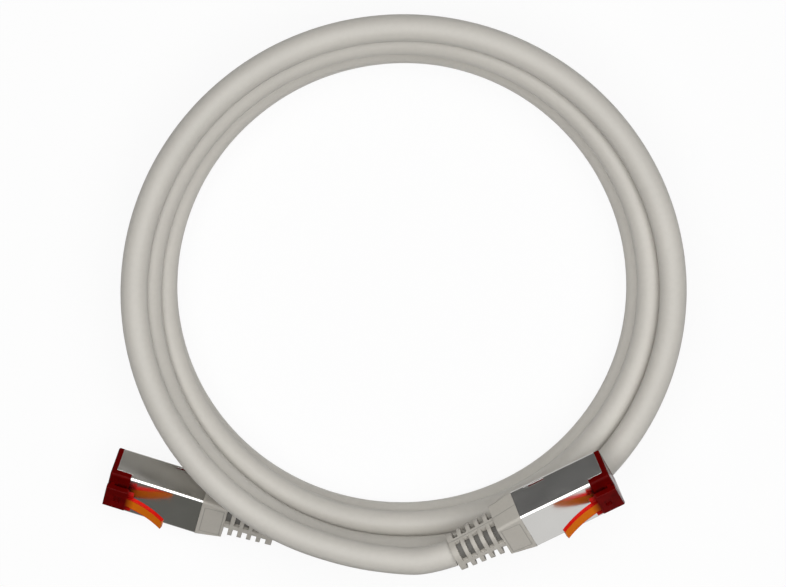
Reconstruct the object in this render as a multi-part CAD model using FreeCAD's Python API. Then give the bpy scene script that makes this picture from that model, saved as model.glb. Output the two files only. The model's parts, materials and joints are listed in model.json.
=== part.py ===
"""Shielded ethernet patch cable, 1.5 m, wound into a loose coil with both plugs lying on it.

Millimetres, +Z up. The origin is the middle of the coil's open eye, on the surface it lies on.
Each plug is built once in its own frame: X runs towards the nose, with the nose face at x = 0,
Y is the width and +Z is the latch side. plug_placement() then sets both plugs down.
"""
import FreeCAD
import Part
import math
import os

# Cord
JACKET_R = 3.0
MIN_RADIUS = 3 * 2 * JACKET_R          # a limp patch cord bends to about three diameters

# Plug body
PLUG_HALF_W = 5.85
PLUG_HALF_H = 4.0
PLUG_CORNER = 0.6
SHELL_WALL = 0.25
SHELL_FRONT = -1.2
SHELL_REAR = -21.4
HOUSING_REAR = -17.2
HOUSING_GAP = 0.03
WINDOW_REAR = -4.7                     # rear edge of the shell's opening round the latch
WINDOW_FLOOR = 2.5
NOSE_CHAMFER = 0.25

# Shell slits over the housing's snap ribs
SLIT_FRONT = -13.5
SLIT_LENGTH = 4.9
SLIT_LOW = -3.25
SLIT_HIGH = -2.85

# Eight positions
POSITIONS = 8
PITCH = 1.02
CONTACT_HALF_T = 0.175
CONTACT_FRONT = -1.3
CONTACT_REAR = -5.65
CONTACT_LOW = -3.7
CONTACT_TOP = -1.2
SLOT_HALF_T = 0.225
CONDUCTOR_R = 0.49
CONDUCTOR_Z = -0.7
CONDUCTOR_FRONT = -2.6
CONDUCTOR_REAR = -13.5
CHANNEL_R = 0.53
GUIDE_FRONT = -7.0
GUIDE_REAR = -13.4
GUIDE_HALF_W = 4.55
GUIDE_LOW = -1.95
GUIDE_HIGH = 0.55
CAVITY_GAP = 0.05

# Rear of the core
CAVITY_HALF_W = 4.7
CAVITY_HALF_H = 3.2
FOIL_HALF_W = 4.2
FOIL_HALF_H = 1.6
JACKET_FRONT = -17.5
SLEEVE_BORE_R = 3.03
SLEEVE_R = 3.55
SLEEVE_REAR = -21.3

# Latch
LATCH_HALF_W = 3.15
HINGE_X = -1.1
HINGE_Z = 3.6
HINGE_R = 0.5
HINGE_CLEARANCE = 0.05
HINGE_HALF_L = 3.1
PLATE_FRONT = 0.0
PLATE_REAR = -5.0
PLATE_LOW = 4.75
PLATE_HIGH = 6.0
POCKET_FRONT = -2.2
POCKET_LENGTH = 1.4
POCKET_HALF_W = 0.95
POCKET_DEPTH = 0.4
SHOULDER_REAR = -6.3
SHOULDER_LOW = 4.95
SHOULDER_HALF_W = 2.8
PRONG_INNER_HALF_W = 1.95              # the two locking prongs stand clear of the lever
LEVER_ROOT_HALF_W = 1.5
LEVER_TIP_HALF_W = 1.3
LEVER_T = 0.9
LEVER_PATH = [(-4.9, 5.5), (-9.7, 6.6), (-14.1, 8.8)]   # centre line in the XZ plane

# Boot
BOOT_FRONT = SHELL_REAR
BLOCK_REAR = -27.2
BOOT_REAR = -38.4
BLOCK_FRONT_HALF = (5.95, 4.1)
BLOCK_REAR_HALF = (4.95, 3.7)
BLOCK_CORNER = 0.7
TAIL_FRONT_HALF = (4.45, 3.9)
TAIL_FRONT_CORNER = 2.2
TAIL_REAR_HALF = (3.75, 3.75)
TAIL_REAR_CORNER = 2.6
SLOTS = 5
SLOT_WIDTH = 1.2
RIB_WIDTH = 0.95
RAIL_HALF_W = 0.6
BOOT_BORE_R = 3.03

# Where the plugs lie: nose centre, heading, pitch and roll
PLUGS = {
    "plug_a": {"nose": (45.4, -39.9, 25.4), "heading": 26.0, "pitch": 5.0, "roll": 48.0},
    "plug_b": {"nose": (-64.9, -40.5, 7.15), "heading": 162.7, "pitch": 0.0, "roll": -48.0},
}

# Coil: its outer shape as a revolved section of (radius, height) points
COIL_SECTION = [(46.8, 0.0), (59.5, 0.0), (63.0, 9.0), (63.5, 22.0), (61.8, 24.5),
                (56.0, 24.5), (51.5, 16.0), (47.5, 10.0), (46.5, 4.0)]
TOP_CUT_Z = 15.3                       # the last turn stops here, under plug A
TOP_CUT_END = -36.0
TUNNEL_Z = 14.6                        # plug B's boot lies in a gap under the upper turns
TUNNEL_END = -147.0
CUT_MARGIN = 20.0

# Cord between each boot and the coil: points after the boot's own end, then the last heading.
# The last point is where that heading meets the coil's cut face squarely.
LEAD_A_POINTS = [(6.0, -59.12, 21.57), (0.35, -60.1, 21.1)]
LEAD_A_HEADING = 174.5
LEAD_B_POINTS = [(-21.55, -54.0, 7.15)]
LEAD_B_HEADING = -15.5


def vec(x, y, z):
    return FreeCAD.Vector(x, y, z)


def block(x0, x1, y0, y1, z0, z1):
    return Part.makeBox(x1 - x0, y1 - y0, z1 - z0, vec(x0, y0, z0))


def centred_block(x0, x1, half_w, z0, z1):
    return block(x0, x1, -half_w, half_w, z0, z1)


def rounded_wire(x, half_w, half_h, corner):
    """A rounded rectangle across the plug's axis at x."""
    edges = []
    inner_w = half_w - corner
    inner_h = half_h - corner
    centres = [(inner_w, inner_h), (-inner_w, inner_h), (-inner_w, -inner_h), (inner_w, -inner_h)]

    def on_arc(centre, degrees):
        turn = math.radians(degrees)
        return vec(x, centre[0] + corner * math.cos(turn), centre[1] + corner * math.sin(turn))

    for index, centre in enumerate(centres):
        start = 90.0 * index
        ahead = centres[(index + 1) % len(centres)]
        arc = Part.Arc(on_arc(centre, start), on_arc(centre, start + 45), on_arc(centre, start + 90))
        edges.append(arc.toShape())
        edges.append(Part.LineSegment(on_arc(centre, start + 90), on_arc(ahead, start + 90)).toShape())
    return Part.Wire(edges)


def rounded_bar(x0, x1, half_w, half_h, corner):
    face = Part.Face(rounded_wire(x0, half_w, half_h, corner))
    return face.extrude(vec(x1 - x0, 0, 0))


def rod(x0, x1, y, z, radius):
    return Part.makeCylinder(radius, abs(x1 - x0), vec(min(x0, x1), y, z), vec(1, 0, 0))


def position_y(index):
    return (index - (POSITIONS - 1) / 2) * PITCH


def make_housing():
    collar = rounded_bar(SHELL_FRONT, 0.0, PLUG_HALF_W, PLUG_HALF_H, PLUG_CORNER)
    front_edges = [e for e in collar.Edges if e.BoundBox.XMin > -0.001]
    collar = collar.makeChamfer(NOSE_CHAMFER, front_edges)
    inside_w = PLUG_HALF_W - SHELL_WALL - HOUSING_GAP
    inside_h = PLUG_HALF_H - SHELL_WALL - HOUSING_GAP
    core = rounded_bar(HOUSING_REAR, SHELL_FRONT, inside_w, inside_h, PLUG_CORNER - SHELL_WALL)
    window = rounded_bar(WINDOW_REAR, SHELL_FRONT, PLUG_HALF_W, PLUG_HALF_H, PLUG_CORNER)
    window = window.common(centred_block(WINDOW_REAR, SHELL_FRONT, PLUG_HALF_W, WINDOW_FLOOR, PLUG_HALF_H))
    housing = collar.fuse([core, window]).removeSplitter()
    cuts = []
    for index in range(POSITIONS):
        y = position_y(index)
        cuts.append(block(CONTACT_REAR, 1.0, y - SLOT_HALF_T, y + SLOT_HALF_T,
                          -PLUG_HALF_H - 1.0, CONTACT_TOP))
        cuts.append(rod(CONDUCTOR_FRONT, GUIDE_FRONT - 0.1, y, CONDUCTOR_Z, CHANNEL_R))
    cuts.append(centred_block(CONDUCTOR_REAR, GUIDE_FRONT, GUIDE_HALF_W + CAVITY_GAP,
                              GUIDE_LOW - CAVITY_GAP, GUIDE_HIGH + CAVITY_GAP))
    cuts.append(centred_block(HOUSING_REAR - 1.0, CONDUCTOR_REAR, CAVITY_HALF_W,
                              -CAVITY_HALF_H, CAVITY_HALF_H))
    groove_r = HINGE_R + HINGE_CLEARANCE
    groove_half_l = LATCH_HALF_W + 2 * HINGE_CLEARANCE
    cuts.append(Part.makeCylinder(groove_r, 2 * groove_half_l, vec(HINGE_X, -groove_half_l, HINGE_Z),
                                  vec(0, 1, 0)))
    cuts.append(centred_block(HINGE_X - groove_r, HINGE_X + groove_r, groove_half_l,
                              HINGE_Z, PLUG_HALF_H + 1.0))
    cuts.append(centred_block(WINDOW_REAR + 0.5, HINGE_X - 1.1, LATCH_HALF_W,
                              PLUG_HALF_H - POCKET_DEPTH, PLUG_HALF_H + 1.0))
    return housing.cut(cuts)


def lever_profile():
    """The curved lever seen from the side: two arcs a lever's thickness apart, and two ends."""
    start, middle, end = LEVER_PATH
    run = math.hypot(end[0] - start[0], end[1] - start[1])
    across = (-(end[1] - start[1]) / run, (end[0] - start[0]) / run)

    def offset(point, side):
        return vec(point[0] + side * across[0] * LEVER_T / 2, 0, point[1] + side * across[1] * LEVER_T / 2)

    upper = [offset(p, -1) for p in LEVER_PATH]
    lower = [offset(p, 1) for p in LEVER_PATH]
    edges = [Part.Arc(*upper).toShape(), Part.LineSegment(upper[2], lower[2]).toShape(),
             Part.Arc(*reversed(lower)).toShape(), Part.LineSegment(lower[0], upper[0]).toShape()]
    return Part.Face(Part.Wire(edges))


def make_lever():
    side = lever_profile()
    side.translate(vec(0, -LATCH_HALF_W, 0))
    lever = side.extrude(vec(0, 2 * LATCH_HALF_W, 0))
    root_x, tip_x = LEVER_PATH[0][0] + 1, LEVER_PATH[-1][0] - 1
    corners = [vec(root_x, -LEVER_ROOT_HALF_W, 0), vec(tip_x, -LEVER_TIP_HALF_W, 0),
               vec(tip_x, LEVER_TIP_HALF_W, 0), vec(root_x, LEVER_ROOT_HALF_W, 0)]
    plan = Part.Face(Part.makePolygon(corners + corners[:1]))
    return lever.common(plan.extrude(vec(0, 0, 2 * PLATE_HIGH)))


def make_latch():
    barrel = Part.makeCylinder(HINGE_R, 2 * HINGE_HALF_L, vec(HINGE_X, -HINGE_HALF_L, HINGE_Z), vec(0, 1, 0))
    neck = centred_block(HINGE_X - HINGE_R, HINGE_X + HINGE_R, HINGE_HALF_L, HINGE_Z, PLATE_LOW + 0.1)
    plate = centred_block(PLATE_REAR, PLATE_FRONT, LATCH_HALF_W, PLATE_LOW, PLATE_HIGH)
    top_edges = [e for e in plate.Edges if e.BoundBox.ZMin > PLATE_HIGH - 0.001]
    plate = plate.makeChamfer(0.15, top_edges)
    prongs = centred_block(SHOULDER_REAR, PLATE_REAR, SHOULDER_HALF_W, SHOULDER_LOW, PLATE_HIGH - 0.15)
    prongs = prongs.cut(centred_block(SHOULDER_REAR - 1, PLATE_REAR, PRONG_INNER_HALF_W, PLATE_LOW, PLATE_HIGH))
    pocket = centred_block(POCKET_FRONT - POCKET_LENGTH, POCKET_FRONT, POCKET_HALF_W,
                           PLATE_HIGH - POCKET_DEPTH, PLATE_HIGH + 1.0)
    latch = barrel.fuse([neck, plate, prongs, make_lever()])
    return latch.removeSplitter().cut(pocket)


def make_shell():
    outside = rounded_bar(SHELL_REAR, SHELL_FRONT, PLUG_HALF_W, PLUG_HALF_H, PLUG_CORNER)
    inside = rounded_bar(SHELL_REAR - 1.0, SHELL_FRONT + 1.0, PLUG_HALF_W - SHELL_WALL,
                         PLUG_HALF_H - SHELL_WALL, PLUG_CORNER - SHELL_WALL)
    window = centred_block(WINDOW_REAR, SHELL_FRONT + 1.0, PLUG_HALF_W + 1.0, WINDOW_FLOOR, PLUG_HALF_H + 1.0)
    slits = centred_block(SLIT_FRONT - SLIT_LENGTH, SLIT_FRONT, PLUG_HALF_W + 1.0, SLIT_LOW, SLIT_HIGH)
    return outside.cut([inside, window, slits])


def make_contact(index):
    y = position_y(index)
    return block(CONTACT_REAR, CONTACT_FRONT, y - CONTACT_HALF_T, y + CONTACT_HALF_T,
                 CONTACT_LOW, CONTACT_TOP)


def make_conductor(index):
    return rod(CONDUCTOR_REAR, CONDUCTOR_FRONT, position_y(index), CONDUCTOR_Z, CONDUCTOR_R)


def make_wire_guide():
    guide = centred_block(GUIDE_REAR, GUIDE_FRONT, GUIDE_HALF_W, GUIDE_LOW, GUIDE_HIGH)
    bores = [rod(GUIDE_REAR - 1, GUIDE_FRONT + 1, position_y(i), CONDUCTOR_Z, CHANNEL_R)
             for i in range(POSITIONS)]
    return guide.cut(bores)


def make_foil_bundle():
    bundle = rounded_bar(JACKET_FRONT, CONDUCTOR_REAR, FOIL_HALF_W, FOIL_HALF_H, FOIL_HALF_H * 0.8)
    bundle.translate(vec(0, 0, CONDUCTOR_Z))
    return bundle


def make_jacket_end():
    return rod(BOOT_REAR, JACKET_FRONT, 0, 0, JACKET_R)


def make_crimp_sleeve():
    return rod(SLEEVE_REAR, JACKET_FRONT, 0, 0, SLEEVE_R).cut(
        rod(SLEEVE_REAR - 1, JACKET_FRONT + 1, 0, 0, SLEEVE_BORE_R))


def make_boot():
    front = Part.makeLoft([rounded_wire(BLOCK_REAR, *BLOCK_REAR_HALF, BLOCK_CORNER),
                           rounded_wire(BOOT_FRONT, *BLOCK_FRONT_HALF, BLOCK_CORNER)], True, True)
    tail = Part.makeLoft([rounded_wire(BOOT_REAR, *TAIL_REAR_HALF, TAIL_REAR_CORNER),
                          rounded_wire(BLOCK_REAR, *TAIL_FRONT_HALF, TAIL_FRONT_CORNER)], True, True)
    cuts = []
    reach = PLUG_HALF_W + 1.0
    for index in range(SLOTS):
        x1 = BLOCK_REAR - index * (SLOT_WIDTH + RIB_WIDTH)
        x0 = x1 - SLOT_WIDTH
        for side_y in (-1, 1):
            for side_z in (-1, 1):
                y0, y1 = sorted((side_y * RAIL_HALF_W, side_y * reach))
                z0, z1 = sorted((side_z * RAIL_HALF_W, side_z * reach))
                cuts.append(block(x0, x1, y0, y1, z0, z1))
    tail = tail.cut(cuts)
    return front.fuse(tail).cut(rod(BOOT_REAR - 1, BOOT_FRONT + 1, 0, 0, BOOT_BORE_R))


def make_plug():
    pieces = {"housing": make_housing(), "latch": make_latch(), "shield_shell": make_shell(),
              "wire_guide": make_wire_guide(), "foil_bundle": make_foil_bundle(),
              "crimp_sleeve": make_crimp_sleeve(), "jacket_end": make_jacket_end(), "boot": make_boot()}
    for index in range(POSITIONS):
        pieces["contact_%d" % (index + 1)] = make_contact(index)
        pieces["conductor_%d" % (index + 1)] = make_conductor(index)
    return pieces


def plug_placement(lie):
    heading = FreeCAD.Rotation(vec(0, 0, 1), lie["heading"])
    pitch = FreeCAD.Rotation(vec(0, 1, 0), -lie["pitch"])
    roll = FreeCAD.Rotation(vec(1, 0, 0), lie["roll"])
    return FreeCAD.Placement(vec(*lie["nose"]), heading.multiply(pitch).multiply(roll))


def cord_route(plug, points, last_heading):
    """The boot's end, the points given, and the foot of the last run on the coil's cut face."""
    start = plug_placement(PLUGS[plug]).multVec(vec(BOOT_REAR, 0, 0))
    turn = math.radians(last_heading)
    ahead = vec(math.cos(turn), math.sin(turn), 0)
    last = vec(*points[-1])
    return [start] + [vec(*p) for p in points] + [last - ahead * last.dot(ahead)]


def make_tube(name, route, radius):
    """Straight runs joined by tangent arcs, each as large as its two runs allow."""
    edges = []
    here = route[0]
    length = 0.0
    for before, corner, after in zip(route, route[1:], route[2:]):
        back = (before - corner).normalize()
        ahead = (after - corner).normalize()
        half_turn = (math.pi - back.getAngle(ahead)) / 2
        reach = 0.45 * min((corner - before).Length, (after - corner).Length)
        bend = reach / math.tan(half_turn)
        print("%s bend radius %.1f mm (least %.0f)" % (name, bend, MIN_RADIUS))
        enter = corner + back * reach
        leave = corner + ahead * reach
        inward = (back + ahead).normalize()
        middle = corner + inward * (bend / math.cos(half_turn) - bend)
        edges.append(Part.LineSegment(here, enter).toShape())
        edges.append(Part.Arc(enter, middle, leave).toShape())
        length += (enter - here).Length + 2 * half_turn * bend
        here = leave
    edges.append(Part.LineSegment(here, route[-1]).toShape())
    length += (route[-1] - here).Length
    spine = Part.Wire(edges)
    section = Part.Wire([Part.makeCircle(radius, route[0], (route[1] - route[0]).normalize())])
    tube = spine.makePipeShell([section], True, False)
    print("%s volume %.1f, section times length %.1f" % (name, tube.Volume, math.pi * radius ** 2 * length))
    return tube


def wedge(r0, r1, z0, z1, start, end):
    """A sector of a ring between two angles, in degrees."""
    corners = [vec(r0, 0, z0), vec(r1, 0, z0), vec(r1, 0, z1), vec(r0, 0, z1)]
    sector = Part.Face(Part.makePolygon(corners + corners[:1]))
    sector.rotate(vec(0, 0, 0), vec(0, 0, 1), start)
    return sector.revolve(vec(0, 0, 0), vec(0, 0, 1), end - start)


def make_coil():
    points = [vec(r, 0, z) for r, z in COIL_SECTION]
    ring = Part.Face(Part.makePolygon(points + points[:1])).revolve(vec(0, 0, 0), vec(0, 0, 1), 360)
    inner = min(r for r, z in COIL_SECTION) - CUT_MARGIN
    outer = max(r for r, z in COIL_SECTION) + CUT_MARGIN
    top_start = LEAD_A_HEADING + 90.0 - 360.0
    tunnel_start = LEAD_B_HEADING - 90.0
    top_gap = wedge(inner, outer, TOP_CUT_Z, TOP_CUT_Z + CUT_MARGIN, top_start, TOP_CUT_END)
    tunnel = wedge(inner, outer, -CUT_MARGIN, TUNNEL_Z, TUNNEL_END, tunnel_start)
    return ring.cut([top_gap, tunnel])


def main():
    os.makedirs("parts", exist_ok=True)
    nodes = {"cable_coil": make_coil(),
             "cable_lead_a": make_tube("cable_lead_a", cord_route("plug_a", LEAD_A_POINTS, LEAD_A_HEADING),
                                       JACKET_R),
             "cable_lead_b": make_tube("cable_lead_b", cord_route("plug_b", LEAD_B_POINTS, LEAD_B_HEADING),
                                       JACKET_R)}
    for plug, lie in PLUGS.items():
        for name, shape in make_plug().items():
            placed = shape.copy()
            placed.Placement = plug_placement(lie).multiply(placed.Placement)
            nodes[plug + "_" + name] = placed
    for name, shape in nodes.items():
        solids = shape.Solids
        if len(solids) != 1 or not shape.isValid():
            print("PROBLEM", name, len(solids), "solids, valid", shape.isValid())
        solids[0].exportStep("parts/%s.step" % name)
    print(len(nodes), "nodes")


main()
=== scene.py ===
"""Shielded ethernet patch cable in a loose coil: its jacket, its finishes, and the stage it lies on."""
import json
import math

import bpy
from mathutils import Matrix, Vector


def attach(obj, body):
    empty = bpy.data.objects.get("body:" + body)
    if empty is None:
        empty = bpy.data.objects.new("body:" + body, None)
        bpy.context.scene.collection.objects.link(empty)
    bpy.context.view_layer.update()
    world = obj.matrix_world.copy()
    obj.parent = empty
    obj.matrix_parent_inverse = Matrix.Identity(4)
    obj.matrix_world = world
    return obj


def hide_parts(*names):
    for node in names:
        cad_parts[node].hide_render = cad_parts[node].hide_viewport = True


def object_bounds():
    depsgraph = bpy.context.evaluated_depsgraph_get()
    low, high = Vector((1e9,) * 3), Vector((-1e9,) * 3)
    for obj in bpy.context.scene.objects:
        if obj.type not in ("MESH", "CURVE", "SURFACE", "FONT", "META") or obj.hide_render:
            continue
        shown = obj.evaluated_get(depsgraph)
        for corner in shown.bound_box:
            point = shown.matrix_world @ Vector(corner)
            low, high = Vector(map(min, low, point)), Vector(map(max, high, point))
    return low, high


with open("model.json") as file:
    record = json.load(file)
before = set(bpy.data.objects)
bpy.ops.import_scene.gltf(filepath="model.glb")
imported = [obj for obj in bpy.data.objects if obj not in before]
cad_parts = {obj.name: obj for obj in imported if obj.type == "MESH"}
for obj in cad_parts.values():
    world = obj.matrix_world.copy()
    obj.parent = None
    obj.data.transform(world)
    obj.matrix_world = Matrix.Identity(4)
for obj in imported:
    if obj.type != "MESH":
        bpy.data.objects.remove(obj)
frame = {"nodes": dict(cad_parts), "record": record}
CAD_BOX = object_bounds()
NODES = frame["nodes"]
MOUNTS = {mount["name"]: mount for mount in frame["record"]["mounts"]}
HINGES = {hinge["name"]: hinge for hinge in frame["record"]["behaviour"]["joints"]}
POSITIONS = 8
PLUGS = ("plug_a", "plug_b")

bl_info = {
    "name": "Ethernet Patch Cable",
    "version": (1, 0, 0),
    "blender": (4, 5, 0),
    "location": "View3D > Sidebar > Patch Cable",
    "description": "Jacket, finishes and stage for a coiled shielded patch cable",
    "category": "Object",
}

# The route between plug A's boot and the coil, and between the coil and plug B's boot, in metres
BOOT_A_EXIT = (0.01102, -0.05667, 0.02205)
LEAD_A = [BOOT_A_EXIT, (0.0058, -0.0584, 0.0217), (0.0002, -0.0587, 0.0212)]
BOOT_B_EXIT = (-0.02824, -0.05192, 0.00715)
LEAD_B = [(0.0045, -0.0570, 0.0032), (-0.0060, -0.0567, 0.0042), (-0.0140, -0.0556, 0.0060),
          (-0.02155, -0.0540, 0.00715), BOOT_B_EXIT]

# The turns, wound clockwise from the top: radius and height in metres at the bottom, left, top
# and right of each turn
TURN_RADII = [0.0577, 0.0591, 0.0582, 0.0592, 0.0566, 0.0563, 0.0556, 0.0545,
              0.0512, 0.0532, 0.0542, 0.0524, 0.0495, 0.0534, 0.0544, 0.0546, 0.0568]
TURN_HEIGHTS = [0.0208, 0.0196, 0.0203, 0.0190, 0.0116, 0.0142, 0.0148, 0.0147,
                0.0088, 0.0091, 0.0091, 0.0091, 0.0031, 0.0031, 0.0031, 0.0031, 0.0031]
POINTS_PER_QUARTER = 6
# The lowest that the cord's middle may lie, a little over its radius
LOWEST_HEIGHT = 0.0031
# Degrees into the first turn at which the coil starts, and degrees short of a full one at the end
FIRST_TURN_START = 12.0
LAST_TURN_SHORT = 10.0
# Each turn's lift where it crosses plug B's boot: degrees into the turn, degrees to each side
CROSSING_ANGLE = 34.0
CROSSING_HALF_WIDTH = 40.0
CROSSING_LIFT = [0.0003, 0.0026, 0.0014, 0.0]

# A boot's plain frame line and the mould's parting line, in the plug's own axes, in metres
FRAME_BACK, FRAME_FRONT = -0.0266, -0.0222
FRAME_SIDE, FRAME_END_REACH = 0.0041, 0.0042
FRAME_HALF_LINE, PARTING_HALF_LINE = 0.00012, 0.00011
LATCH_FACE_HEIGHT = 0.0030
# Where the thin lever begins behind the prongs, and where its edges turn red
LEVER_FULL, LEVER_START = -0.0068, -0.0048
LEVER_EDGE_START, LEVER_EDGE_FULL = 0.00115, 0.00132

# The stage: the table, what polished metal sees of it and of the room, the lamp and the camera
TABLE_SIZE, TABLE_GAP = 8.0, 0.0001
TABLE_WHITE = (0.80, 0.80, 0.80, 1.0)
TABLE_OWN_LIGHT = 0.91
TABLE_DIM_SIDE, TABLE_BRIGHT_SIDE = (0.125, 0.125, 0.115), (0.74, 0.74, 0.74)
ROOM_DIM_SIDE, ROOM_BRIGHT_SIDE, ROOM_CEILING = 0.125, 0.75, 0.85
LAMP_PLACE, LAMP_AIM, LAMP_SIZE = (0.03, -0.03, 0.70), (0, 0, 0.01), 0.90
CAMERA_ACROSS, SENSOR_WIDTH = -0.0023, 36.0

# A colour Mix node's sockets, whose names repeat
MIX_A, MIX_B, MIX_RESULT = 6, 7, 2


class JacketSettings(bpy.types.PropertyGroup):
    diameter: bpy.props.FloatProperty(
        name="Diameter", description="Outside diameter of the jacket",
        default=0.006, min=0.003, max=0.009, unit="LENGTH")
    length: bpy.props.FloatProperty(
        name="Free length", description="Length of cord between the two boots",
        default=1.42, min=0.2, max=5.0, unit="LENGTH")
    colour: bpy.props.FloatVectorProperty(
        name="Colour", description="Warm light grey of the soft PVC",
        default=(0.540, 0.518, 0.475), size=3, min=0.0, max=1.0, subtype="COLOR")
    roughness: bpy.props.FloatProperty(
        name="Roughness", description="Satin gloss of the jacket",
        default=0.40, min=0.0, max=1.0, subtype="FACTOR")


class PlugSettings(bpy.types.PropertyGroup):
    boot_colour: bpy.props.FloatVectorProperty(
        name="Boot colour", description="Moulded grey of the strain relief boots",
        default=(0.455, 0.430, 0.385), size=3, min=0.0, max=1.0, subtype="COLOR")
    red: bpy.props.FloatVectorProperty(
        name="Red", description="Red plastic of the housing and latch",
        default=(0.10, 0.001, 0.0008), size=3, min=0.0, max=1.0, subtype="COLOR")
    amber: bpy.props.FloatVectorProperty(
        name="Amber", description="Amber of the thin lever",
        default=(0.66, 0.15, 0.004), size=3, min=0.0, max=1.0, subtype="COLOR")
    edge_red: bpy.props.FloatVectorProperty(
        name="Edge red", description="Bright red of the lever's edges",
        default=(0.62, 0.010, 0.006), size=3, min=0.0, max=1.0, subtype="COLOR")
    plate_colour: bpy.props.FloatVectorProperty(
        name="Plating", description="Nickel plating of the shield shell",
        default=(0.80, 0.79, 0.765), size=3, min=0.0, max=1.0, subtype="COLOR")
    plate_roughness: bpy.props.FloatProperty(
        name="Plating roughness", description="Polish of the shield shell",
        default=0.18, min=0.0, max=1.0, subtype="FACTOR")


class StageSettings(bpy.types.PropertyGroup):
    view_width: bpy.props.FloatProperty(
        name="View width", description="Width of the view at the coil's middle height",
        default=0.173, min=0.05, max=2.0, unit="LENGTH")
    camera_height: bpy.props.FloatProperty(
        name="Camera height", description="Height of the camera above the table",
        default=0.95, min=0.2, max=5.0, unit="LENGTH")
    key_power: bpy.props.FloatProperty(
        name="Overhead light", description="Power of the soft light above",
        default=7.3, min=0.0, unit="POWER")
    fill: bpy.props.FloatProperty(
        name="Fill", description="Strength of the room's light on matt surfaces",
        default=0.04, min=0.0, max=2.0)


# ---------------------------------------------------------------- materials

class Finish:
    """A material's node tree, with short calls for the nodes its recipes share."""

    def __init__(self, name):
        self.material = bpy.data.materials.new(name)
        self.material.use_nodes = True
        self.tree = self.material.node_tree
        self.shader = self.tree.nodes["Principled BSDF"]
        self.coordinates = self.node("ShaderNodeTexCoord").outputs["Object"]

    def node(self, kind, **values):
        made = self.tree.nodes.new(kind)
        for key, value in values.items():
            setattr(made, key, value)
        return made

    def link(self, source, target):
        self.tree.links.new(source, target)

    def set(self, **values):
        """Give the shader's inputs values that are the same all over."""
        for key, value in values.items():
            self.shader.inputs[key.replace("_", " ")].default_value = value

    def drive(self, socket, source):
        """Feed one of the shader's inputs from a node."""
        self.link(source, self.shader.inputs[socket])

    def mixed(self, factor, first, second):
        """From the first colour to the second by factor; either may be a node's output."""
        mix = self.node("ShaderNodeMix", data_type="RGBA")
        self.link(factor, mix.inputs["Factor"])
        for index, colour in ((MIX_A, first), (MIX_B, second)):
            if isinstance(colour, bpy.types.NodeSocket):
                self.link(colour, mix.inputs[index])
            else:
                mix.inputs[index].default_value = (*colour, 1.0)
        return mix.outputs[MIX_RESULT]

    def noise(self, scale, detail=3.0, source=None, stretch=None):
        """Noise on Object coordinates, or on another source, stretched where that is given."""
        source = source or self.coordinates
        if stretch:
            mapping = self.node("ShaderNodeMapping")
            mapping.inputs["Scale"].default_value = stretch
            self.link(source, mapping.inputs["Vector"])
            source = mapping.outputs["Vector"]
        texture = self.node("ShaderNodeTexNoise")
        texture.inputs["Scale"].default_value = scale
        texture.inputs["Detail"].default_value = detail
        self.link(source, texture.inputs["Vector"])
        return texture.outputs["Fac"]

    def between(self, factor, low, high, start=0.35, end=0.65):
        """A number that runs from low to high as factor runs from start to end."""
        ranged = self.node("ShaderNodeMapRange")
        for key, value in (("From Min", start), ("From Max", end), ("To Min", low), ("To Max", high)):
            ranged.inputs[key].default_value = value
        self.link(factor, ranged.inputs["Value"])
        return ranged.outputs["Result"]

    def colours(self, factor, low, high, start=0.3, end=0.7):
        """A colour that runs from low to high as factor runs from start to end."""
        ramp = self.node("ShaderNodeValToRGB")
        for stop, position, colour in zip(ramp.color_ramp.elements, (start, end), (low, high)):
            stop.position = position
            stop.color = (*colour, 1.0)
        self.link(factor, ramp.inputs["Fac"])
        return ramp.outputs["Color"]

    def maths(self, operation, a, b=None, clamp=False):
        """One sum on numbers or nodes' outputs."""
        made = self.node("ShaderNodeMath", operation=operation, use_clamp=clamp)
        for socket, value in zip(made.inputs, (a, b)):
            if value is None:
                continue
            if isinstance(value, (int, float)):
                socket.default_value = value
            else:
                self.link(value, socket)
        return made.outputs[0]

    def relief(self, height, distance, strength=1.0, edge_radius=None):
        """Bump from a height in 0..1, over softened edges where edge_radius is given."""
        bump = self.node("ShaderNodeBump")
        bump.inputs["Distance"].default_value = distance
        bump.inputs["Strength"].default_value = strength
        self.link(height, bump.inputs["Height"])
        if edge_radius:
            edges = self.node("ShaderNodeBevel", samples=4)
            edges.inputs["Radius"].default_value = edge_radius
            self.link(edges.outputs["Normal"], bump.inputs["Normal"])
        self.drive("Normal", bump.outputs["Normal"])


def shade(colour, factor):
    """A darker or lighter colour of the same hue."""
    return tuple(channel * factor for channel in colour)


def plug_matrix(plug):
    """From a plug's own axes (X to the nose, Z to the latch) to the part's frame."""
    ahead = Vector(MOUNTS[plug + "_in_jack"]["axis"]).normalized()
    across = -Vector(HINGES["latch_%s_hinge" % plug[-1]]["axis"]).normalized()
    turn = Matrix((ahead, across, ahead.cross(across))).transposed()
    return Matrix.Translation(MOUNTS[plug + "_in_jack"]["pos_m"]) @ turn.to_4x4()


def plug_space(finish, plug):
    """Object coordinates turned into the plug's own axes."""
    place = plug_matrix(plug)
    mapping = finish.node("ShaderNodeMapping", vector_type="TEXTURE")
    mapping.inputs["Location"].default_value = place.to_translation()
    mapping.inputs["Rotation"].default_value = place.to_euler("XYZ")
    finish.link(finish.coordinates, mapping.inputs["Vector"])
    split = finish.node("ShaderNodeSeparateXYZ")
    finish.link(mapping.outputs["Vector"], split.inputs[0])
    return mapping.outputs["Vector"], split.outputs


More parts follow.
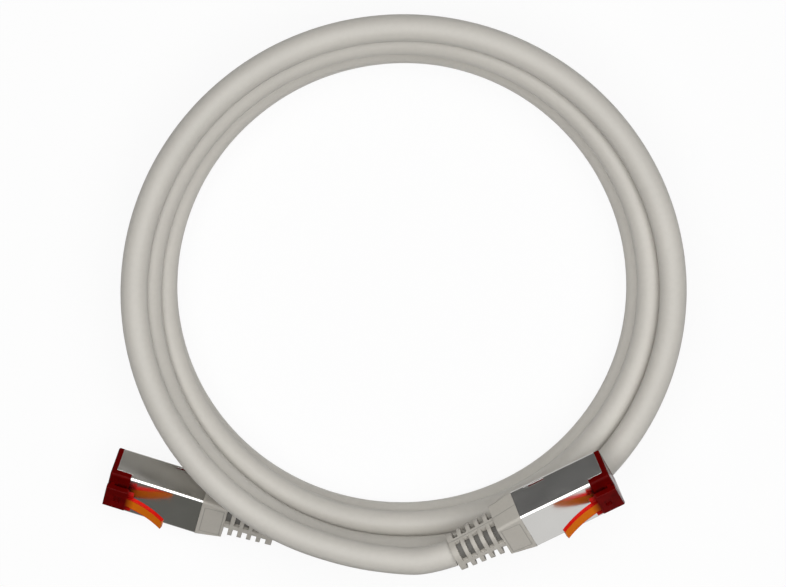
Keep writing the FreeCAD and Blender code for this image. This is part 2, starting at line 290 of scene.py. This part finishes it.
def jacket_finish(name="jacket_soft_pvc", depth=1.0):
    """Satin PVC with a fine grain; depth under 1 darkens its colour as painted shade."""
    settings = bpy.context.scene.patch_jacket
    finish = Finish(name)
    colour = shade(settings.colour, depth)
    broad = finish.noise(38.0, 2.0)
    fine = finish.noise(900.0, 4.0)
    mottle = finish.maths("ADD", finish.maths("MULTIPLY", broad, 0.6), finish.maths("MULTIPLY", fine, 0.4))
    finish.drive("Base Color", finish.colours(mottle, shade(colour, 0.95), shade(colour, 1.04)))
    finish.drive("Roughness", finish.between(fine, settings.roughness - 0.05, settings.roughness + 0.06))
    finish.set(IOR=1.53, Specular_IOR_Level=0.22)
    grain = finish.noise(2600.0, 5.0)
    finish.relief(grain, 0.00004, 0.35)
    return finish.material


def line_mask(finish, coordinate, centre, half_width):
    """1 on a thin line at that coordinate, 0 off it."""
    offset = finish.maths("ABSOLUTE", finish.maths("SUBTRACT", coordinate, centre))
    return finish.between(offset, 1.0, 0.0, half_width * 0.6, half_width)


def span_mask(finish, coordinate, low, high):
    """1 between two values of that coordinate, 0 outside them."""
    above = finish.maths("GREATER_THAN", coordinate, low)
    below = finish.maths("LESS_THAN", coordinate, high)
    return finish.maths("MULTIPLY", above, below)


def boot_finish(plug):
    """Moulded grey, with the mould's parting line and a plain frame line on the latch side, both shallow
    grooves whose darker colour is painted shade.
    """
    colour = bpy.context.scene.patch_plugs.boot_colour
    finish = Finish("boot_moulded_grey_" + plug[-1])
    _, (x, y, z) = plug_space(finish, plug)
    across = finish.maths("ABSOLUTE", y)
    speckle = finish.noise(1500.0, 4.0)
    broad = finish.noise(120.0, 2.0)
    tint = finish.maths("ADD", finish.maths("MULTIPLY", speckle, 0.5), finish.maths("MULTIPLY", broad, 0.5))
    base = finish.colours(tint, shade(colour, 0.94), shade(colour, 1.05))
    parting = line_mask(finish, z, 0.0, PARTING_HALF_LINE)
    sides = finish.maths("MULTIPLY", line_mask(finish, across, FRAME_SIDE, FRAME_HALF_LINE),
                         span_mask(finish, x, FRAME_BACK, FRAME_FRONT))
    ends = finish.maths("MAXIMUM", line_mask(finish, x, FRAME_FRONT, FRAME_HALF_LINE),
                        line_mask(finish, x, FRAME_BACK, FRAME_HALF_LINE))
    ends = finish.maths("MULTIPLY", ends, finish.maths("LESS_THAN", across, FRAME_END_REACH))
    border = finish.maths("MULTIPLY", finish.maths("MAXIMUM", sides, ends),
                          finish.maths("GREATER_THAN", z, LATCH_FACE_HEIGHT))
    grooves_and_painted_shade = finish.maths("MAXIMUM", parting, border)
    # The frame and parting marks get a darker colour as painted shade in their grooves; the bump below cuts
    # the grooves themselves.
    finish.drive("Base Color", finish.mixed(finish.maths("MULTIPLY", grooves_and_painted_shade, 0.55), base, shade(colour, 0.45)))
    finish.drive("Roughness", finish.between(speckle, 0.50, 0.62))
    finish.set(IOR=1.5)
    height = finish.maths("SUBTRACT", finish.maths("MULTIPLY", speckle, 0.25), grooves_and_painted_shade)
    finish.relief(height, 0.00006, 0.6, edge_radius=0.00018)
    return finish.material


def plated_finish(name, plug):
    """Polished nickel with faint drawing marks along the plug."""
    settings = bpy.context.scene.patch_plugs
    finish = Finish(name)
    local, _ = plug_space(finish, plug)
    streaks = finish.noise(1800.0, 3.0, local, (0.06, 1.0, 1.0))
    smudge = finish.noise(160.0, 3.0, local)
    finish.drive("Base Color", finish.colours(smudge, shade(settings.plate_colour, 0.96),
                                              settings.plate_colour[:]))
    finish.set(Metallic=1.0)
    polish = finish.maths("ADD", finish.between(smudge, -0.03, 0.04), finish.between(streaks, -0.01, 0.02))
    finish.drive("Roughness", finish.maths("ADD", polish, settings.plate_roughness))
    finish.relief(streaks, 0.000004, 0.25, edge_radius=0.00012)
    return finish.material


def red_gloss(finish, flow, edge_radius):
    """The polish that the red housing and latches share."""
    finish.drive("Roughness", finish.between(flow, 0.10, 0.17))
    finish.set(IOR=1.58, Specular_IOR_Level=0.02)
    finish.relief(flow, 0.00002, 0.15, edge_radius=edge_radius)
    return finish.material


def housing_finish():
    """Deep red moulded plastic, with the faint flow marks of its moulding."""
    colour = bpy.context.scene.patch_plugs.red
    finish = Finish("clear_red_housing")
    flow = finish.noise(420.0, 2.0)
    finish.drive("Base Color", finish.colours(flow, shade(colour, 0.80), shade(colour, 1.15)))
    return red_gloss(finish, flow, 0.00012)


def latch_finish(plug):
    """The same red, turning to amber along the thin lever, with brighter red edges."""
    settings = bpy.context.scene.patch_plugs
    finish = Finish("clear_red_latch_" + plug[-1])
    _, (x, y, _) = plug_space(finish, plug)
    flow = finish.noise(420.0, 2.0)
    on_lever = finish.between(x, 1.0, 0.0, LEVER_FULL, LEVER_START)
    at_edge = finish.between(finish.maths("ABSOLUTE", y), 0.0, 1.0, LEVER_EDGE_START, LEVER_EDGE_FULL)
    lever = finish.mixed(at_edge, settings.amber, settings.edge_red)
    moulding = finish.colours(flow, shade(settings.red, 0.80), shade(settings.red, 1.30))
    finish.drive("Base Color", finish.mixed(on_lever, moulding, lever))
    return red_gloss(finish, flow, 0.00010)


def plain_finish(name, colour, roughness, metallic=0.0, grain=1200.0):
    """A small inner piece's finish: slightly mottled, with a fine grain."""
    finish = Finish(name)
    speckle = finish.noise(grain, 3.0)
    finish.drive("Base Color", finish.colours(speckle, shade(colour, 0.9), shade(colour, 1.05)))
    finish.drive("Roughness", finish.between(speckle, roughness * 0.85, roughness * 1.2))
    finish.set(Metallic=metallic)
    finish.relief(speckle, 0.00001, 0.3, edge_radius=0.00006)
    return finish.material


INSULATION = {"white_orange": (0.85, 0.58, 0.38), "orange": (0.85, 0.28, 0.03),
              "white_green": (0.58, 0.80, 0.58), "blue": (0.03, 0.12, 0.60),
              "white_blue": (0.58, 0.68, 0.85), "green": (0.03, 0.38, 0.08),
              "white_brown": (0.70, 0.55, 0.45), "brown": (0.25, 0.10, 0.04)}


def wear(node, material):
    """Gives a CAD piece its finish."""
    piece = NODES[node]
    if piece.material_slots:
        for slot in piece.material_slots:
            slot.material = material
    else:
        piece.data.materials.append(material)


# ---------------------------------------------------------------- cord

def turn_value(values, quarters):
    """A smooth value between the four that each turn is given, at that many quarter turns."""
    index = min(int(quarters), len(values) - 2)
    part = quarters - index
    before = values[max(index - 1, 0)]
    here, ahead = values[index], values[index + 1]
    after = values[min(index + 2, len(values) - 1)]
    rise_here = (ahead - before) / 2
    rise_ahead = (after - here) / 2
    cube, square = part ** 3, part ** 2
    return ((2 * cube - 3 * square + 1) * here + (cube - 2 * square + part) * rise_here
            + (3 * square - 2 * cube) * ahead + (cube - square) * rise_ahead)


def coil_points():
    """The coil's turns as control points, clockwise and downwards."""
    step = 90.0 / POINTS_PER_QUARTER
    outward = 1.0 / math.cos(math.radians(step / 2))
    points = []
    wound = FIRST_TURN_START
    last = 90.0 * (len(TURN_RADII) - 1) - LAST_TURN_SHORT
    while wound <= last:
        quarters = wound / 90.0
        turn = min(int(wound // 360.0), len(CROSSING_LIFT) - 1)
        offset = (wound - 360.0 * turn - CROSSING_ANGLE) / CROSSING_HALF_WIDTH
        lift = CROSSING_LIFT[turn] * math.cos(offset * math.pi / 2) ** 2 if abs(offset) < 1 else 0.0
        angle = math.radians(-90.0 - wound)
        radius = turn_value(TURN_RADII, quarters) * outward
        height = max(turn_value(TURN_HEIGHTS, quarters) + lift, LOWEST_HEIGHT)
        points.append((radius * math.cos(angle), radius * math.sin(angle), height))
        wound += step
    return points


class OBJECT_OT_patch_cord(bpy.types.Operator):
    """Lay the jacketed cord from one boot, round the coil and into the other boot"""
    bl_idname = "object.patch_cord"
    bl_label = "Patch Cord"

    def execute(self, context):
        settings = context.scene.patch_jacket
        curve = bpy.data.curves.new("patch_cord", "CURVE")
        curve.dimensions = "3D"
        curve.bevel_depth = settings.diameter / 2
        curve.bevel_resolution = 8
        curve.resolution_u = 8
        curve.use_fill_caps = True
        route = LEAD_A + coil_points() + LEAD_B
        spline = curve.splines.new("NURBS")
        spline.points.add(len(route) - 1)
        for point, place in zip(spline.points, route):
            point.co = (*place, 1.0)
        spline.order_u = 3
        spline.use_endpoint_u = True
        cord = bpy.data.objects.new("patch_cord", curve)
        context.collection.objects.link(cord)
        curve.materials.append(jacket_finish())
        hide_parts("cable_coil", "cable_lead_a", "cable_lead_b")
        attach(cord, "root")
        return {"FINISHED"}


# ---------------------------------------------------------------- plugs

class OBJECT_OT_plug_shells(bpy.types.Operator):
    """Plate both shield shells and crimp sleeves"""
    bl_idname = "object.plug_shells"
    bl_label = "Shield Shells"

    def execute(self, context):
        for plug in PLUGS:
            plated = plated_finish("polished_nickel_" + plug[-1], plug)
            wear(plug + "_shield_shell", plated)
            wear(plug + "_crimp_sleeve", plated)
        return {"FINISHED"}


class OBJECT_OT_plug_housings(bpy.types.Operator):
    """Give both housings and latches their clear red plastic"""
    bl_idname = "object.plug_housings"
    bl_label = "Housings and Latches"

    def execute(self, context):
        body = housing_finish()
        for plug in PLUGS:
            wear(plug + "_housing", body)
            wear(plug + "_latch", latch_finish(plug))
        return {"FINISHED"}


class OBJECT_OT_plug_boots(bpy.types.Operator):
    """Give both slotted boots their moulded grey, and the jacket ends inside them the cord's colour darkened
    as painted shade
    """
    bl_idname = "object.plug_boots"
    bl_label = "Strain Relief Boots"

    def execute(self, context):
        # The jacket ends get the cord's colour at a quarter: painted shade for the dark slots of the boots.
        jacket = jacket_finish("jacket_end_painted_shade", 0.25)
        for plug in PLUGS:
            wear(plug + "_boot", boot_finish(plug))
            wear(plug + "_jacket_end", jacket)
        return {"FINISHED"}


class OBJECT_OT_plug_cores(bpy.types.Operator):
    """Finish the contacts, conductors, wire guides and foil inside both plugs"""
    bl_idname = "object.plug_cores"
    bl_label = "Contacts and Conductors"

    def execute(self, context):
        gold = plain_finish("gold_plate", (0.83, 0.60, 0.20), 0.18, metallic=1.0)
        nylon = plain_finish("natural_nylon", (0.80, 0.78, 0.72), 0.38)
        foil = plain_finish("bright_foil", (0.80, 0.80, 0.82), 0.30, metallic=1.0, grain=500.0)
        insulation = [plain_finish("insulation_" + name, colour, 0.42)
                      for name, colour in INSULATION.items()]
        for plug in PLUGS:
            wear(plug + "_wire_guide", nylon)
            wear(plug + "_foil_bundle", foil)
            for index in range(POSITIONS):
                wear("%s_contact_%d" % (plug, index + 1), gold)
                wear("%s_conductor_%d" % (plug, index + 1), insulation[index])
        return {"FINISHED"}


# ---------------------------------------------------------------- stage

def white_table():
    """A white table that keeps a soft shadow; polished metal sees it bright right, dim left."""
    finish = Finish("white_table")
    finish.set(Base_Color=TABLE_WHITE, Roughness=0.9)
    split = finish.node("ShaderNodeSeparateXYZ")
    finish.link(finish.coordinates, split.inputs[0])
    right = finish.between(split.outputs[0], 0.0, 1.0, -0.02, 0.06)
    behind = finish.between(split.outputs[1], 0.0, 1.0, -0.07, -0.05)
    side = finish.maths("MAXIMUM", right, behind)
    mirrored = finish.node("ShaderNodeEmission")
    finish.link(finish.colours(side, TABLE_DIM_SIDE, TABLE_BRIGHT_SIDE, 0.0, 1.0), mirrored.inputs["Color"])
    lit = finish.node("ShaderNodeEmission")
    lit.inputs["Color"].default_value = (1.0, 1.0, 1.0, 1.0)
    path = finish.node("ShaderNodeLightPath")
    seen = finish.node("ShaderNodeMixShader")
    direct = finish.maths("ADD", path.outputs["Is Camera Ray"], path.outputs["Is Transmission Ray"],
                          clamp=True)
    finish.link(finish.maths("MULTIPLY", direct, TABLE_OWN_LIGHT), seen.inputs["Fac"])
    finish.link(finish.shader.outputs[0], seen.inputs[1])
    finish.link(lit.outputs[0], seen.inputs[2])
    last = finish.node("ShaderNodeMixShader")
    finish.link(path.outputs["Is Glossy Ray"], last.inputs["Fac"])
    finish.link(seen.outputs[0], last.inputs[1])
    finish.link(mirrored.outputs[0], last.inputs[2])
    finish.link(last.outputs[0], finish.tree.nodes["Material Output"].inputs["Surface"])
    return finish.material


def room(world, strength):
    """Soft room light: bright overhead and on the right, dim on the left near the horizon."""
    world.use_nodes = True
    tree = world.node_tree
    background = tree.nodes["Background"]
    background.inputs["Color"].default_value = (1.0, 1.0, 1.0, 1.0)
    coordinates = tree.nodes.new("ShaderNodeTexCoord")
    split = tree.nodes.new("ShaderNodeSeparateXYZ")
    tree.links.new(coordinates.outputs["Generated"], split.inputs[0])

    def eased(axis, start, end, low, high):
        """A number that eases from low to high as the view's axis runs from start to end."""
        ranged = tree.nodes.new("ShaderNodeMapRange")
        ranged.interpolation_type = "SMOOTHSTEP"
        for key, value in (("From Min", start), ("From Max", end), ("To Min", low), ("To Max", high)):
            ranged.inputs[key].default_value = value
        tree.links.new(split.outputs[axis], ranged.inputs["Value"])
        return ranged.outputs["Result"]

    blend = tree.nodes.new("ShaderNodeMix")
    tree.links.new(eased("Z", 0.35, 0.85, 0.0, 1.0), blend.inputs["Factor"])
    tree.links.new(eased("X", -0.22, 0.22, ROOM_DIM_SIDE, ROOM_BRIGHT_SIDE), blend.inputs["A"])
    blend.inputs["B"].default_value = ROOM_CEILING
    scaled = tree.nodes.new("ShaderNodeMath")
    scaled.operation = "MULTIPLY"
    scaled.inputs[1].default_value = strength
    tree.links.new(blend.outputs["Result"], scaled.inputs[0])
    path = tree.nodes.new("ShaderNodeLightPath")
    mirrored = tree.nodes.new("ShaderNodeMix")
    tree.links.new(path.outputs["Is Glossy Ray"], mirrored.inputs["Factor"])
    tree.links.new(scaled.outputs[0], mirrored.inputs["A"])
    tree.links.new(blend.outputs["Result"], mirrored.inputs["B"])
    seen = tree.nodes.new("ShaderNodeMix")
    tree.links.new(path.outputs["Is Camera Ray"], seen.inputs["Factor"])
    tree.links.new(mirrored.outputs["Result"], seen.inputs["A"])
    seen.inputs["B"].default_value = 1.0
    tree.links.new(seen.outputs["Result"], background.inputs["Strength"])


def soft_light(name, place, aim, size, power):
    """A square area lamp that faces a point."""
    lamp = bpy.data.lights.new(name, "AREA")
    lamp.size = size
    lamp.energy = power
    light = bpy.data.objects.new(name, lamp)
    bpy.context.collection.objects.link(light)
    light.location = place
    light.rotation_euler = (Vector(aim) - Vector(place)).to_track_quat("-Z", "Y").to_euler()
    return light


class SCENE_OT_patch_stage(bpy.types.Operator):
    """Set the camera straight above, the white table and the soft lights"""
    bl_idname = "scene.patch_stage"
    bl_label = "Stage"

    def execute(self, context):
        settings = context.scene.patch_stage
        scene = context.scene
        low, high = CAD_BOX
        middle_height = (low[2] + high[2]) / 2
        camera = bpy.data.objects.new("camera", bpy.data.cameras.new("camera"))
        context.collection.objects.link(camera)
        camera.location = (CAMERA_ACROSS, 0.0, settings.camera_height)
        camera.data.sensor_width = SENSOR_WIDTH
        camera.data.lens = SENSOR_WIDTH * (settings.camera_height - middle_height) / settings.view_width
        scene.camera = camera
        bpy.ops.object.select_all(action="DESELECT")
        bpy.ops.mesh.primitive_plane_add(size=TABLE_SIZE, location=(0, 0, low[2] - TABLE_GAP))
        table = context.object
        table.name = "table_top"
        table.data.materials.append(white_table())
        scene.world = scene.world or bpy.data.worlds.new("room")
        room(scene.world, settings.fill)
        soft_light("overhead", LAMP_PLACE, LAMP_AIM, LAMP_SIZE, settings.key_power)
        scene.view_settings.view_transform = "Standard"
        return {"FINISHED"}


class VIEW3D_PT_patch_cable(bpy.types.Panel):
    """Lists the cable's pieces and their settings"""
    bl_label = "Patch Cable"
    bl_space_type = "VIEW_3D"
    bl_region_type = "UI"
    bl_category = "Patch Cable"

    def draw(self, context):
        for title, settings, operators in SECTIONS:
            box = self.layout.box()
            box.label(text=title)
            group = getattr(context.scene, settings)
            for name in group.__annotations__:
                box.prop(group, name)
            for operator in operators:
                box.operator(operator.bl_idname)


SECTIONS = [
    ("Stage", "patch_stage", [SCENE_OT_patch_stage]),
    ("Cord", "patch_jacket", [OBJECT_OT_patch_cord]),
    ("Plugs", "patch_plugs", [OBJECT_OT_plug_shells, OBJECT_OT_plug_housings, OBJECT_OT_plug_boots,
                              OBJECT_OT_plug_cores]),
]
GROUPS = {"patch_jacket": JacketSettings, "patch_plugs": PlugSettings, "patch_stage": StageSettings}


def register():
    for name, group in GROUPS.items():
        bpy.utils.register_class(group)
        setattr(bpy.types.Scene, name, bpy.props.PointerProperty(type=group))
    for _, _, operators in SECTIONS:
        for operator in operators:
            bpy.utils.register_class(operator)
    bpy.utils.register_class(VIEW3D_PT_patch_cable)


def unregister():
    bpy.utils.unregister_class(VIEW3D_PT_patch_cable)
    for _, _, operators in SECTIONS:
        for operator in operators:
            bpy.utils.unregister_class(operator)
    for name, group in GROUPS.items():
        delattr(bpy.types.Scene, name)
        bpy.utils.unregister_class(group)


def main():
    register()
    bpy.ops.scene.patch_stage()
    bpy.ops.object.patch_cord()
    bpy.ops.object.plug_shells()
    bpy.ops.object.plug_housings()
    bpy.ops.object.plug_boots()
    bpy.ops.object.plug_cores()


if __name__ == "__main__":
    main()
